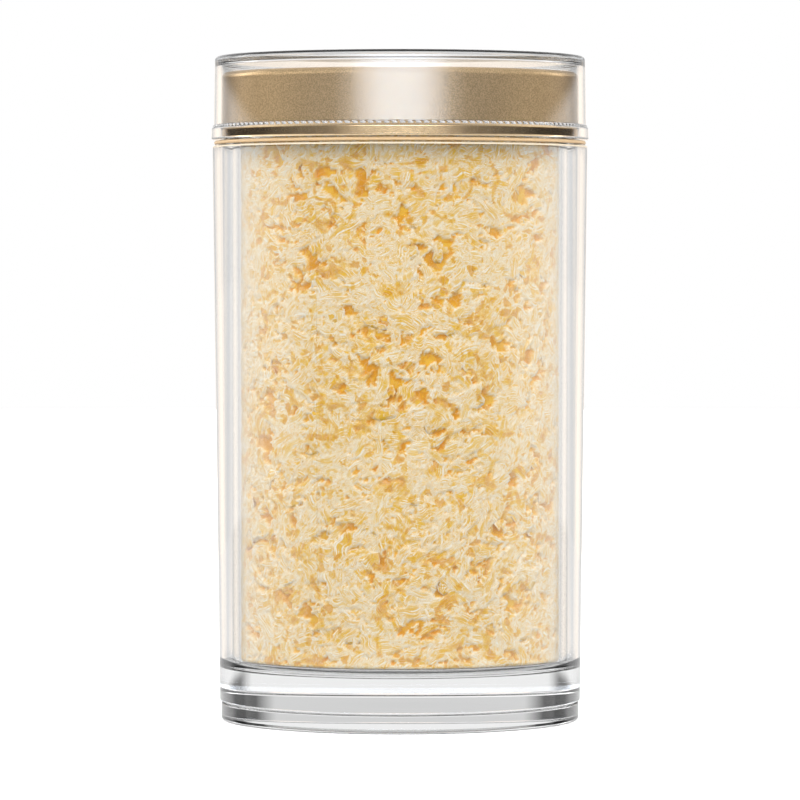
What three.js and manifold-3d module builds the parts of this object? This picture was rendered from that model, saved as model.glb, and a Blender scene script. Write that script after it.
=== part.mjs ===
// A clear double-walled jar with a gold and clear screw lid, packed with crumbled dried snow fungus.
// Millimetres, +Z up. The origin is the middle of the surface that the jar stands on.
import * as THREE from "three";
import { mergeVertices } from "three/addons/utils/BufferGeometryUtils.js";
import Module from "manifold-3d";

const wasm = await Module();
wasm.setup();

// Overall sizes
const GAP = 0.3; // between pieces that touch or are glued
const ROUND_STEPS = 48; // facets round every turned piece
const QUARTER_STEPS = 2; // facets on a rounded edge

// Base and outer jar
const FOOT_RADIUS = 47.5;
const FOOT_HEIGHT = 4.8;
const FOOT_EDGE = 0.9;
const RECESS_RADIUS = 44;
const RECESS_DEPTH = 1;
const RECESS_SLOPE = 0.6;
const JAR_FLOOR_THICKNESS = 9;
const JAR_CORNER = 2.6; // a bevel inside, between the floor and the wall
const JAR_BASE_RADIUS = 47.9;
const JAR_TOP_RADIUS = 49.7;
const JAR_INNER_RADIUS = 46.85;
const JAR_TOP = 152.2;
const JAR_EDGE = 0.5;

// Inner tub
const TUB_RADIUS = 44.5;
const TUB_WALL = 1.8;
const TUB_FLOOR_THICKNESS = 1.6;
const TUB_FLOOR_TOP = 16;
const TUB_CORNER = 2.6;
const SHOULDER_RADIUS = 49.3;
const SHOULDER_THICKNESS = 1;
const NECK_RADIUS = 44.1;
const NECK_TOP = 168;

// Screw thread between the tub's neck and the gold cap: one start, right-handed
const THREAD_LEAD = 4;
const THREAD_HEIGHT = 1;
const THREAD_ROOT_WIDTH = 1.3;
const THREAD_CREST_WIDTH = 0.6;
const THREAD_SINK = 0.4; // how far a thread's root is buried in its wall
const THREAD_BURIED = 0.15; // share of a thread's height that is left at its faded ends, inside its wall
const THREAD_STEP = Math.PI / 18;
const THREAD_START_ANGLE = 0.06; // keeps a thread's edges off the facets' edges of its wall
const THREAD_RUN_OUT = 2; // steps over which a thread fades at each end
const NECK_THREAD_STEPS = 34;
const NECK_THREAD_START = 157.6;
const CAP_THREAD_STEPS = 26;
const CAP_THREAD_START = NECK_THREAD_START - THREAD_LEAD / 2;

// Lid
const SHELL_BOTTOM = 153.8;
const SHELL_TOP = 175.9;
const SHELL_RADIUS = 49.3;
const SHELL_INNER_RADIUS = 47.65;
const SHELL_TOP_THICKNESS = 2.1;
const SHELL_EDGE = 1.2;
const SHELL_INNER_EDGE = 0.6;
const FLANGE_RADIUS = 50;
const FLANGE_HEIGHT = 3.2;
const FLANGE_EDGE = 0.4;
const TOOTH_HEIGHT = 1;
const TOOTH_DEPTH = 0.35;
const CAP_RADIUS = 47.3;
const CAP_BOTTOM = 154.1;
const CAP_STEP = 157.9; // the satin side wall starts here, above the trim ring
const CAP_STEP_RADIUS = 46.35;
const CAP_TOP = 171.5;
const CAP_TOP_THICKNESS = 1.7;
const CAP_EDGE = 1.7;
const CAP_INNER_RADIUS = 45.5;
const RING_THICKNESS = 0.65;
const RING_BEVEL = 0.2;
const LINER_RADIUS = 45;
const LINER_THICKNESS = 1.2;

// Dried fungus: flakes pressed against the tub's wall
const FILL_COLUMNS = 56;
const FILL_ROWS = 26;
const FILL_TOP = 160;
const FILL_CROWN = 1.6; // how much higher the heap is in its middle
const FILL_CLEARANCE = 0.45;
const FLAKE_WIDTH = 12;
const FLAKE_TALL = 8.5;
const FLAKE_DOME = 2.6; // depth lost from a flake's middle to its rim
const FLAKE_SET_BACK = 2.4; // the deepest that a whole flake lies behind the others
const FLAKE_TILT = 0.6; // radians
const FLAKE_SLIM = 1.4; // how much sooner a flake falls away across its length than along it
const SEAT_MARGIN = 0.2; // share of a flake's cell that its middle keeps clear of on each side
const UNDER_RINGS = [0.5, 1]; // rings of the underside, as shares of its radius
const HEAP_RINGS = [0.94, 0.78, 0.56, 0.3]; // rings of the top, as shares of the radius
const BOTTOM_SHARE = 0.5; // share of the flakes' depth that the lowest ring of the side has
const MIX = [127.1, 311.7, 74.7]; // factors of the repeatable chance
const MIX_GAIN = 43758.5453;

// Finishes
const CLEAR_ACRYLIC = { color: 0xf4f7f7, roughness: 0.05, metalness: 0, transparent: true, opacity: 0.3 };
const SATIN_GOLD = { color: 0xc8b08a, roughness: 0.35, metalness: 1 };
const POLISHED_GOLD = { color: 0xe6c391, roughness: 0.08, metalness: 1 };
const WHITE_FOAM = { color: 0xf2f0ea, roughness: 0.8, metalness: 0 };
const DRIED_FUNGUS = { color: 0xe8cf9c, roughness: 0.7, metalness: 0 };

// Outline helpers: a point is [radius, height]

/** Points on an arc about a centre, from one angle to the other, in degrees. */
function arc(radius, height, size, from, to, steps = QUARTER_STEPS) {
  return Array.from({ length: steps + 1 }, (_, i) => {
    const angle = THREE.MathUtils.degToRad(from + ((to - from) * i) / steps);
    return [radius + size * Math.cos(angle), height + size * Math.sin(angle)];
  });
}

/** A turned piece from its outline, which runs anticlockwise in the radius and height plane. */
function turned(outline) {
  const points = outline.map(([radius, height]) => new THREE.Vector2(radius, height));
  if (outline[0][0] > 0) points.push(points[0].clone());
  return new THREE.LatheGeometry(points, ROUND_STEPS).rotateX(Math.PI / 2);
}

// Boolean helpers

/** A closed geometry as a solid that can be joined or cut. */
function toSolid(geometry) {
  const bare = geometry.clone();
  bare.deleteAttribute("normal");
  bare.deleteAttribute("uv");
  const merged = mergeVertices(bare, 1e-4);
  return new wasm.Manifold(
    new wasm.Mesh({
      numProp: 3,
      vertProperties: new Float32Array(merged.attributes.position.array),
      triVerts: new Uint32Array(merged.index.array),
    }),
  );
}

/** A solid as a geometry for a mesh. */
function toGeometry(solid) {
  const mesh = solid.getMesh();
  return geometryFrom(mesh.vertProperties, mesh.triVerts);
}

/** A geometry from flat lists of coordinates and of corner numbers. */
function geometryFrom(coordinates, corners) {
  const geometry = new THREE.BufferGeometry();
  geometry.setAttribute("position", new THREE.BufferAttribute(new Float32Array(coordinates), 3));
  geometry.setIndex(new THREE.BufferAttribute(new Uint32Array(corners), 1));
  geometry.computeVertexNormals();
  return geometry;
}

/** A helical thread that stands out of a wall of the given radius, towards the axis if side is -1. */
function thread(wallRadius, side, start, steps) {
  const coordinates = [];
  const corners = [];
  for (let i = 0; i <= steps; i++) {
    const swept = i * THREAD_STEP;
    const angle = THREAD_START_ANGLE + swept;
    const middle = start + (THREAD_LEAD * swept) / (2 * Math.PI);
    const share = Math.max(THREAD_BURIED, Math.min(1, Math.min(i, steps - i) / THREAD_RUN_OUT));
    const root = wallRadius - side * THREAD_SINK;
    const crest = THREE.MathUtils.lerp(root, wallRadius + side * THREAD_HEIGHT, share);
    const section = [
      [root, -THREAD_ROOT_WIDTH / 2],
      [crest, -THREAD_CREST_WIDTH / 2],
      [crest, THREAD_CREST_WIDTH / 2],
      [root, THREAD_ROOT_WIDTH / 2],
    ];
    for (const [radius, rise] of side > 0 ? section : section.reverse())
      coordinates.push(radius * Math.cos(angle), radius * Math.sin(angle), middle + rise);
  }
  for (let i = 0; i < steps; i++)
    for (let k = 0; k < 4; k++) {
      const a = 4 * i + k;
      const b = 4 * i + ((k + 1) % 4);
      corners.push(a, a + 4, b, b, a + 4, b + 4);
    }
  const last = 4 * steps;
  corners.push(0, 1, 2, 0, 2, 3, last, last + 2, last + 1, last, last + 3, last + 2);
  return geometryFrom(coordinates, corners);
}

// Clear pieces

/** The disc that closes the bottom, with a rounded edge and a shallow recess underneath. */
function baseFoot() {
  return turned([
    [0, RECESS_DEPTH],
    [RECESS_RADIUS - RECESS_SLOPE, RECESS_DEPTH],
    [RECESS_RADIUS, 0],
    ...arc(FOOT_RADIUS - FOOT_EDGE, FOOT_EDGE, FOOT_EDGE, -90, 0),
    [FOOT_RADIUS, FOOT_HEIGHT],
    [0, FOOT_HEIGHT],
  ]);
}

/** The outer wall with its thick floor. It is a little narrower at the bottom than at the top. */
function outerJar() {
  const bottom = FOOT_HEIGHT + GAP;
  const floor = bottom + JAR_FLOOR_THICKNESS;
  return turned([
    [0, bottom],
    ...arc(JAR_BASE_RADIUS - JAR_EDGE, bottom + JAR_EDGE, JAR_EDGE, -90, 0, 1),
    ...arc(JAR_TOP_RADIUS - JAR_EDGE, JAR_TOP - JAR_EDGE, JAR_EDGE, 0, 90, 1),
    [JAR_INNER_RADIUS, JAR_TOP],
    [JAR_INNER_RADIUS, floor + JAR_CORNER],
    [JAR_INNER_RADIUS - JAR_CORNER, floor],
    [0, floor],
  ]);
}

/** The tub that holds the fungus. Its shoulder rests on the outer jar, and its neck has the thread. */
function innerTub() {
  const underside = TUB_FLOOR_TOP - TUB_FLOOR_THICKNESS;
  const shoulder = JAR_TOP + GAP;
  const inside = TUB_RADIUS - TUB_WALL;
  const insideCorner = TUB_CORNER - TUB_WALL;
  const half = SHOULDER_THICKNESS / 2;
  const wall = turned([
    [0, underside],
    ...arc(TUB_RADIUS - TUB_CORNER, underside + TUB_CORNER, TUB_CORNER, -90, 0),
    [TUB_RADIUS, shoulder],
    ...arc(SHOULDER_RADIUS - half, shoulder + half, half, -90, 90),
    [NECK_RADIUS, shoulder + SHOULDER_THICKNESS],
    [NECK_RADIUS, NECK_TOP],
    [inside, NECK_TOP],
    ...arc(inside - insideCorner, TUB_FLOOR_TOP + insideCorner, insideCorner, 0, -90),
    [0, TUB_FLOOR_TOP],
  ]);
  const screw = thread(NECK_RADIUS, 1, NECK_THREAD_START, NECK_THREAD_STEPS);
  return toGeometry(toSolid(wall).add(toSolid(screw)));
}

/** The clear outer cap: a flat top, a thin wall, a flange at its foot and a bead for its grip teeth. */
function lidShell() {
  const flangeTop = SHELL_BOTTOM + FLANGE_HEIGHT;
  const ceiling = SHELL_TOP - SHELL_TOP_THICKNESS;
  return turned([
    [SHELL_INNER_RADIUS, SHELL_BOTTOM],
    ...arc(FLANGE_RADIUS - FLANGE_EDGE, SHELL_BOTTOM + FLANGE_EDGE, FLANGE_EDGE, -90, 0, 1),
    ...arc(FLANGE_RADIUS - FLANGE_EDGE, flangeTop - FLANGE_EDGE, FLANGE_EDGE, 0, 90, 1),
    [SHELL_RADIUS + TOOTH_DEPTH, flangeTop],
    [SHELL_RADIUS, flangeTop + TOOTH_HEIGHT],
    ...arc(SHELL_RADIUS - SHELL_EDGE, SHELL_TOP - SHELL_EDGE, SHELL_EDGE, 0, 90),
    [0, SHELL_TOP],
    [0, ceiling],
    ...arc(SHELL_INNER_RADIUS - SHELL_INNER_EDGE, ceiling - SHELL_INNER_EDGE, SHELL_INNER_EDGE, 90, 0, 1),
  ]);
}

// Gold pieces and the liner

/** The satin cap with the thread inside, stepped in at the bottom for the trim ring. */
function goldCap() {
  const cup = turned([
    [CAP_INNER_RADIUS, CAP_BOTTOM],
    [CAP_STEP_RADIUS, CAP_BOTTOM],
    [CAP_STEP_RADIUS, CAP_STEP],
    [CAP_RADIUS, CAP_STEP],
    ...arc(CAP_RADIUS - CAP_EDGE, CAP_TOP - CAP_EDGE, CAP_EDGE, 0, 90),
    [0, CAP_TOP],
    [0, CAP_TOP - CAP_TOP_THICKNESS],
    [CAP_INNER_RADIUS, CAP_TOP - CAP_TOP_THICKNESS],
  ]);
  const screw = thread(CAP_INNER_RADIUS, -1, CAP_THREAD_START, CAP_THREAD_STEPS);
  return toGeometry(toSolid(cup).add(toSolid(screw)));
}

/** The polished ring behind the clear flange. */
function trimRing() {
  const bottom = CAP_BOTTOM;
  const top = CAP_STEP - GAP;
  return turned([
    [CAP_RADIUS - RING_THICKNESS, bottom],
    ...arc(CAP_RADIUS - RING_BEVEL, bottom + RING_BEVEL, RING_BEVEL, -90, 0, 1),
    ...arc(CAP_RADIUS - RING_BEVEL, top - RING_BEVEL, RING_BEVEL, 0, 90, 1),
    [CAP_RADIUS - RING_THICKNESS, top],
  ]);
}

/** The sealing disc between the neck and the gold cap. */
function lidLiner() {
  const bottom = NECK_TOP + GAP;
  return turned([
    [0, bottom],
    [LINER_RADIUS, bottom],
    [LINER_RADIUS, bottom + LINER_THICKNESS],
    [0, bottom + LINER_THICKNESS],
  ]);
}

// Dried fungus

/** A repeatable number from 0 to 1 for a flake's column, row and purpose. */
function chance(column, row, purpose) {
  const mixed = Math.sin(column * MIX[0] + row * MIX[1] + purpose * MIX[2]) * MIX_GAIN;
  return mixed - Math.floor(mixed);
}

/** How deep the heap of flakes lies below its outermost skin, at a place across and up its surface. */
function flakeDepth(across, up, columns) {
  const column = Math.floor(across);
  const row = Math.floor(up);
  let depth = FLAKE_DOME + FLAKE_SET_BACK;
  for (let dc = -1; dc <= 1; dc++)
    for (let dr = -1; dr <= 1; dr++) {
      const c = column + dc;
      const r = row + dr;
      const wrapped = ((c % columns) + columns) % columns;
      const offX = across - (c + SEAT_MARGIN + (1 - 2 * SEAT_MARGIN) * chance(wrapped, r, 1));
      const offY = up - (r + SEAT_MARGIN + (1 - 2 * SEAT_MARGIN) * chance(wrapped, r, 2));
      const tilt = FLAKE_TILT * (2 * chance(wrapped, r, 3) - 1);
      const along = offX * Math.cos(tilt) + offY * Math.sin(tilt);
      const aside = offY * Math.cos(tilt) - offX * Math.sin(tilt);
      const setBack = FLAKE_SET_BACK * chance(wrapped, r, 4) ** 2;
      const fall = 2 * FLAKE_DOME * (along * along + FLAKE_SLIM * aside * aside);
      depth = Math.min(depth, setBack + fall);
    }
  return depth;
}

/** The fungus as one lumpy solid: flat where it lies on the tub's floor, heaped at the top. */
function fungusFill() {
  const wall = TUB_RADIUS - TUB_WALL - FILL_CLEARANCE;
  const floor = TUB_FLOOR_TOP + GAP;
  const corner = TUB_CORNER - TUB_WALL;
  const columns = Math.round((2 * Math.PI * wall) / FLAKE_WIDTH);
  const rings = [];
  for (const share of UNDER_RINGS)
    rings.push({ radius: share * (wall - corner), height: floor, inward: 0, down: 0 });
  for (let row = 0; row <= FILL_ROWS; row++)
    rings.push({
      radius: wall,
      height: THREE.MathUtils.lerp(floor + corner, FILL_TOP - corner, row / FILL_ROWS),
      inward: row > 0 ? 1 : BOTTOM_SHARE,
      down: 0,
    });
  for (const share of HEAP_RINGS)
    rings.push({
      radius: share * wall,
      height: FILL_TOP + FILL_CROWN * (1 - share ** 2),
      inward: 0,
      down: 1,
    });

  const coordinates = [0, 0, floor];
  rings.forEach(({ radius, height, inward, down }) => {
    for (let column = 0; column < FILL_COLUMNS; column++) {
      const turn = column / FILL_COLUMNS;
      const across = turn * columns;
      const up = (height - floor + down * (wall - radius)) / FLAKE_TALL;
      const depth = flakeDepth(across, up, columns);
      const angle = 2 * Math.PI * turn;
      const reach = radius - inward * depth;
      coordinates.push(reach * Math.cos(angle), reach * Math.sin(angle), height - down * depth);
    }
  });
  coordinates.push(0, 0, FILL_TOP + FILL_CROWN - FLAKE_DOME / 2);

  const corners = [];
  const corner0 = (ring, column) => 1 + ring * FILL_COLUMNS + (column % FILL_COLUMNS);
  const summit = 1 + rings.length * FILL_COLUMNS;
  for (let column = 0; column < FILL_COLUMNS; column++) {
    corners.push(0, corner0(0, column + 1), corner0(0, column));
    for (let ring = 0; ring < rings.length - 1; ring++) {
      const a = corner0(ring, column);
      const b = corner0(ring, column + 1);
      const c = corner0(ring + 1, column);
      const d = corner0(ring + 1, column + 1);
      corners.push(a, b, d, a, d, c);
    }
    corners.push(corner0(rings.length - 1, column), corner0(rings.length - 1, column + 1), summit);
  }
  return geometryFrom(coordinates, corners);
}

// The jar

/** A named mesh with its own finish. */
function piece(name, geometry, finish) {
  const mesh = new THREE.Mesh(geometry, new THREE.MeshStandardMaterial(finish));
  mesh.name = name;
  return mesh;
}

const jar = new THREE.Group();
jar.add(
  piece("base_foot", baseFoot(), CLEAR_ACRYLIC),
  piece("outer_jar", outerJar(), CLEAR_ACRYLIC),
  piece("inner_tub", innerTub(), CLEAR_ACRYLIC),
  piece("fungus_fill", fungusFill(), DRIED_FUNGUS),
);

const lid = new THREE.Group();
lid.add(
  piece("lid_liner", lidLiner(), WHITE_FOAM),
  piece("gold_cap", goldCap(), SATIN_GOLD),
  piece("trim_ring", trimRing(), POLISHED_GOLD),
  piece("lid_shell", lidShell(), CLEAR_ACRYLIC),
);

const group = new THREE.Group();
group.add(jar, lid);

export default group;
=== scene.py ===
"""Dresses a clear double-walled jar that is packed with crumbled dried snow fungus.

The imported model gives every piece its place. The clear and gold pieces are turned again as smooth
meshes, and the fungus is a heap of thousands of ragged sheets with loose flakes pressed on it. Everything
is in metres, +Z up, with the origin in the middle of the surface that the jar stands on.
"""

from __future__ import annotations

import logging
import math
from dataclasses import dataclass
from enum import Enum
from typing import Callable, Sequence

import bpy
import numpy as np
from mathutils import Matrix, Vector


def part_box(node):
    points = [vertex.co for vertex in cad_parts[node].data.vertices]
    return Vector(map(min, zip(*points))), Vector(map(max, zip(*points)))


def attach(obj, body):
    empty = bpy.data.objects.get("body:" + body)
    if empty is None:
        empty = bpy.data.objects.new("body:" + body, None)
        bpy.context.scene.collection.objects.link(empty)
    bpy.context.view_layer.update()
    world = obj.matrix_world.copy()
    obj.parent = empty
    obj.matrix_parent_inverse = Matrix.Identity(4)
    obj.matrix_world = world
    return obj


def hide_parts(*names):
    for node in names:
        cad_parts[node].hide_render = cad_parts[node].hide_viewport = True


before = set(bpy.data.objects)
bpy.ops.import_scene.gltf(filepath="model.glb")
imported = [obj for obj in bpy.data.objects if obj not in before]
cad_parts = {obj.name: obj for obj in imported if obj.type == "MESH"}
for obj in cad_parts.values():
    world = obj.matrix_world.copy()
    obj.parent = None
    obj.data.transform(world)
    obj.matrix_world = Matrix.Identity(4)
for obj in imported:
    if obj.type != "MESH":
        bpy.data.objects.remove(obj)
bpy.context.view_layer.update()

log = logging.getLogger("snow_fungus_jar")

MM = 0.001
TURN = 2 * math.pi
SAME_RADIUS = 1e-6  # radii closer than this are the same wall

Point = tuple[float, float]
Colour = tuple[float, float, float]
Object = bpy.types.Object
Material = bpy.types.Material
Node = bpy.types.Node
Socket = bpy.types.NodeSocket


class Body(str, Enum):
    """The bodies that pieces ride on."""

    JAR = "jar"
    LINER = "liner"
    LID = "lid"


class Slot(str, Enum):
    """The record's material slots."""

    ACRYLIC = "clear_acrylic"
    FUNGUS = "dried_fungus"
    FOAM = "white_foam"
    SATIN = "satin_gold"
    POLISHED = "polished_gold"


# Outlines and turned meshes


def arc(centre: Point, size: float, start: float, end: float, steps: int = 6) -> list[Point]:
    """Points on a circle's arc in the plane of radius and height.

    Args:
        centre: radius and height of the arc's centre.
        size: the arc's radius.
        start: its first angle in degrees, 0 pointing outwards and 90 upwards.
        end: its last angle in degrees.
        steps: how many facets it has.

    Returns:
        The points from start to end.
    """
    angles = np.radians(np.linspace(start, end, steps + 1))
    return [(centre[0] + size * math.cos(a), centre[1] + size * math.sin(a)) for a in angles]


def lower_corner(radius: float, height: float, size: float, steps: int = 6) -> list[Point]:
    """A rounded outer corner, from the bottom at this height up to the side at this radius."""
    return arc((radius - size, height + size), size, -90, 0, steps)


def upper_corner(radius: float, height: float, size: float, steps: int = 6) -> list[Point]:
    """A rounded outer corner, from the side at this radius up to the top at this height."""
    return arc((radius - size, height - size), size, 0, 90, steps)


def polar(radius: np.ndarray | float, angles: np.ndarray, height: np.ndarray | float) -> np.ndarray:
    """Positions at these radii, angles and heights, broadcast together."""
    across = (radius * np.cos(angles), radius * np.sin(angles), height)
    return np.stack(np.broadcast_arrays(*across), axis=-1)


def placed(name: str, data: bpy.types.ID) -> Object:
    """A new object with this data, linked to the scene."""
    made = bpy.data.objects.new(name, data)
    bpy.context.scene.collection.objects.link(made)
    return made


def new_object(name: str, points: np.ndarray, faces: Sequence[Sequence[int]]) -> Object:
    """A mesh object from points and faces, linked to the scene.

    Args:
        name: the object's name.
        points: an array of positions.
        faces: corner numbers of each face.

    Returns:
        The new object.
    """
    mesh = bpy.data.meshes.new(name)
    mesh.from_pydata([tuple(p) for p in points], [], faces)
    mesh.validate()
    return placed(name, mesh)


def braced(outline: Sequence[Point], least: float = 0.9 * MM, inset: float = 0.12 * MM) -> list[Point]:
    """Adds points close to both ends of long straight stretches, to keep smooth shading true there.

    Args:
        outline: radius and height points.
        least: the shortest stretch that gets them.
        inset: how far they are from its ends.

    Returns:
        The outline with the points added.
    """
    ends = list(outline[1:]) + ([outline[0]] if outline[0][0] > 0 else [])
    full: list[Point] = []
    for a, b in zip(outline, ends):
        full.append(a)
        length = math.dist(a, b)
        if length > least:
            for share in (inset / length, 1 - inset / length):
                full.append((a[0] + (b[0] - a[0]) * share, a[1] + (b[1] - a[1]) * share))
    if len(ends) < len(outline):
        full.append(outline[-1])
    return full


def turned(
    name: str,
    outline: Sequence[Point],
    columns: int,
    reach: Callable[[np.ndarray, float, float], np.ndarray],
    crease: float = 40,
) -> Object:
    """A closed turned mesh with smooth sides and creased corners.

    Args:
        name: the object's name.
        outline: radius and height points, anticlockwise, from the axis to the axis or closed on itself.
        columns: facets round the axis.
        reach: gives the radii of a ring from its angles, radius and height.
        crease: edges sharper than this many degrees stay sharp.

    Returns:
        The new object.
    """
    angles = np.arange(columns) * TURN / columns
    points: list[np.ndarray] = []
    rings: list[list[int]] = []
    for radius, height in braced(outline):
        if radius <= 0:
            rings.append([len(points)])
            points.append(np.array((0, 0, height)))
            continue
        rings.append(list(range(len(points), len(points) + columns)))
        points.extend(polar(reach(angles, radius, height), angles, height))
    pairs = list(zip(rings, rings[1:]))
    if outline[0][0] > 0:
        pairs.append((rings[-1], rings[0]))
    faces: list[tuple[int, ...]] = []
    for low, high in pairs:
        for i in range(columns):
            j = (i + 1) % columns
            if len(low) == len(high) == 1:
                break
            if len(low) == 1:
                faces.append((low[0], high[j], high[i]))
            elif len(high) == 1:
                faces.append((low[i], low[j], high[0]))
            else:
                faces.append((low[i], low[j], high[j], high[i]))
    made = new_object(name, np.array(points), faces)
    made.data.shade_smooth()
    made.data.set_sharp_from_angle(angle=math.radians(crease))
    return made


# Shader helpers


class Shader:
    """A short way to write a node tree."""

    MIX_COLOUR_INPUTS = (0, 6, 7)  # factor, first colour and second colour of a mix node
    MIX_COLOUR_OUTPUT = 2

    def __init__(self, tree: bpy.types.NodeTree) -> None:
        """Starts on an empty tree.

        Args:
            tree: the material's, world's or group's node tree.
        """
        self.tree = tree
        tree.nodes.clear()

    def node(self, kind: str, **values: object) -> Node:
        """Adds a node.

        Args:
            kind: the node's type, without its ShaderNode prefix.
            values: properties of the node, or its sockets, by number as i0 or by name with _ for a
                space. A socket of another node is linked, and anything else is set.

        Returns:
            The node.
        """
        made = self.tree.nodes.new(f"ShaderNode{kind}")
        for key, value in values.items():
            if hasattr(made, key):
                setattr(made, key, value)
        for key, value in values.items():
            if not hasattr(made, key):
                numbered = key[0] == "i" and key[1:].isdigit()
                self.feed(made.inputs[int(key[1:]) if numbered else key.replace("_", " ")], value)
        return made

    def feed(self, socket: Socket, value: object) -> None:
        """Links a socket to another node's output, or sets its value.

        Args:
            socket: the input.
            value: an output, a number, a vector or a colour.
        """
        if isinstance(value, Socket):
            self.tree.links.new(value, socket)
        elif isinstance(value, tuple) and len(value) == 3 and socket.type == "RGBA":
            socket.default_value = (*value, 1)
        else:
            socket.default_value = value

    def math(self, operation: str, *values: object, clamp: bool = False) -> Socket:
        """Adds a maths node.

        Args:
            operation: what it does.
            values: its inputs, linked or set.
            clamp: whether the result is kept within 0 to 1.

        Returns:
            The result.
        """
        made = self.tree.nodes.new("ShaderNodeMath")
        made.operation = operation
        made.use_clamp = clamp
        for socket, value in zip(made.inputs, values):
            self.feed(socket, value)
        return made.outputs[0]

    def blend(self, share: object, low: object, high: object, mode: str = "MIX") -> Socket:
        """Adds a colour mix.

        Args:
            share: how much of the second colour shows.
            low: the first colour.
            high: the second colour.
            mode: how the second is laid over the first.

        Returns:
            The colour.
        """
        made = self.tree.nodes.new("ShaderNodeMix")
        made.data_type = "RGBA"
        made.blend_type = mode
        for socket, value in zip(self.MIX_COLOUR_INPUTS, (share, low, high)):
            self.feed(made.inputs[socket], value)
        return made.outputs[self.MIX_COLOUR_OUTPUT]

    def fade(self, value: object, low: float, high: float, start: float = 0, end: float = 1) -> Socket:
        """Maps a value smoothly from one stretch to another.

        Args:
            value: the value.
            low: the first stretch's start.
            high: its end.
            start: the result at low.
            end: the result at high.

        Returns:
            The result.
        """
        made = self.node("MapRange", interpolation_type="SMOOTHSTEP", From_Min=low, From_Max=high,
                         To_Min=start, To_Max=end, Value=value)
        return made.outputs[0]

    def ramp(self, value: object, stops: Sequence[tuple[float, Colour]]) -> Socket:
        """Adds a colour ramp.

        Args:
            value: the place on the ramp, from 0 to 1.
            stops: places and colours.

        Returns:
            The colour.
        """
        made = self.tree.nodes.new("ShaderNodeValToRGB")
        ramp = made.color_ramp
        while len(ramp.elements) < len(stops):
            ramp.elements.new(1)
        for element, (place, colour) in zip(ramp.elements, stops):
            element.position = place
            element.color = (*colour, 1)
        self.feed(made.inputs[0], value)
        return made.outputs[0]


def handling_marks() -> bpy.types.ShaderNodeTree:
    """The node group for faint marks of handling that every hard finish here has.

    Returns:
        The group, with the mark size and strength as inputs, and a roughness and a height as outputs.
    """
    name = "handling_marks"
    if name in bpy.data.node_groups:
        return bpy.data.node_groups[name]
    group = bpy.data.node_groups.new(name, "ShaderNodeTree")
    for label, value in (("Grain Scale", 900.0), ("Rough Base", 0.1), ("Rough Spread", 0.05)):
        socket = group.interface.new_socket(name=label, in_out="INPUT", socket_type="NodeSocketFloat")
        socket.default_value = value
    for label in ("Roughness", "Height"):
        group.interface.new_socket(name=label, in_out="OUTPUT", socket_type="NodeSocketFloat")
    sketch = Shader(group)
    given = sketch.node("TexCoord").outputs["Object"]
    wanted = group.nodes.new("NodeGroupInput")
    result = group.nodes.new("NodeGroupOutput")
    grain = sketch.node("TexNoise", Vector=given, Scale=wanted.outputs["Grain Scale"], Detail=3.0)
    smears = sketch.node("TexNoise", Vector=given, Scale=45.0, Detail=4.0, Roughness=0.6)
    mixed = sketch.math("MULTIPLY", grain.outputs["Fac"], smears.outputs["Fac"])
    spread = sketch.math("MULTIPLY", mixed, wanted.outputs["Rough Spread"])
    sketch.feed(result.inputs["Roughness"], sketch.math("ADD", wanted.outputs["Rough Base"], spread))
    sketch.feed(result.inputs["Height"], grain.outputs["Fac"])
    return group


# Finishes


@dataclass(frozen=True)
class Finish:
    """What every finish has: its material's name, and a way to make the material."""

    name: str

    def material(self) -> Material:
        """Makes the finish as a material.

        Returns:
            The new material.
        """
        made = bpy.data.materials.new(self.name)
        made.use_nodes = True
        sketch = Shader(made.node_tree)
        sketch.node("OutputMaterial", Surface=self.surface(sketch).outputs[0])
        return made

    def surface(self, sketch: Shader) -> Node:
        """The finish's last shader node, which each kind of finish makes in its own way."""
        raise NotImplementedError


@dataclass(frozen=True)
class ClearAcrylic(Finish):
    """Clear polished acrylic. Light that falls through it keeps its way, and so it lights what is inside."""

    name: str = "clear_acrylic"
    tint: Colour = (0.992, 0.995, 0.995)
    shade: Colour = (0.97, 0.97, 0.97)
    index: float = 1.49
    roughness: float = 0.02
    wave_scale: float = 60
    wave_height: float = 0.2 * MM
    ripple: float = 0.02

    def surface(self, sketch: Shader) -> Node:
        """Polished plastic with faint waves, which lets the lamps' light in.

        Args:
            sketch: the material's shader.

        Returns:
            The shader node.
        """
        given = sketch.node("TexCoord").outputs["Object"]
        waves = sketch.node("TexNoise", Vector=given, Scale=self.wave_scale, Detail=0.0).outputs["Fac"]
        ripple = sketch.node("Bump", Strength=self.ripple, Distance=self.wave_height, Height=waves)
        polish = sketch.math("MULTIPLY", waves, self.roughness)
        clear = sketch.node("BsdfPrincipled", Base_Color=self.tint, IOR=self.index, Transmission_Weight=1.0,
                            Roughness=polish, Normal=ripple.outputs["Normal"])
        lit = sketch.node("BsdfTransparent", Color=self.shade)
        shadow = sketch.node("LightPath").outputs["Is Shadow Ray"]
        return sketch.node("MixShader", i0=shadow, i1=clear.outputs[0], i2=lit.outputs[0])


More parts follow.
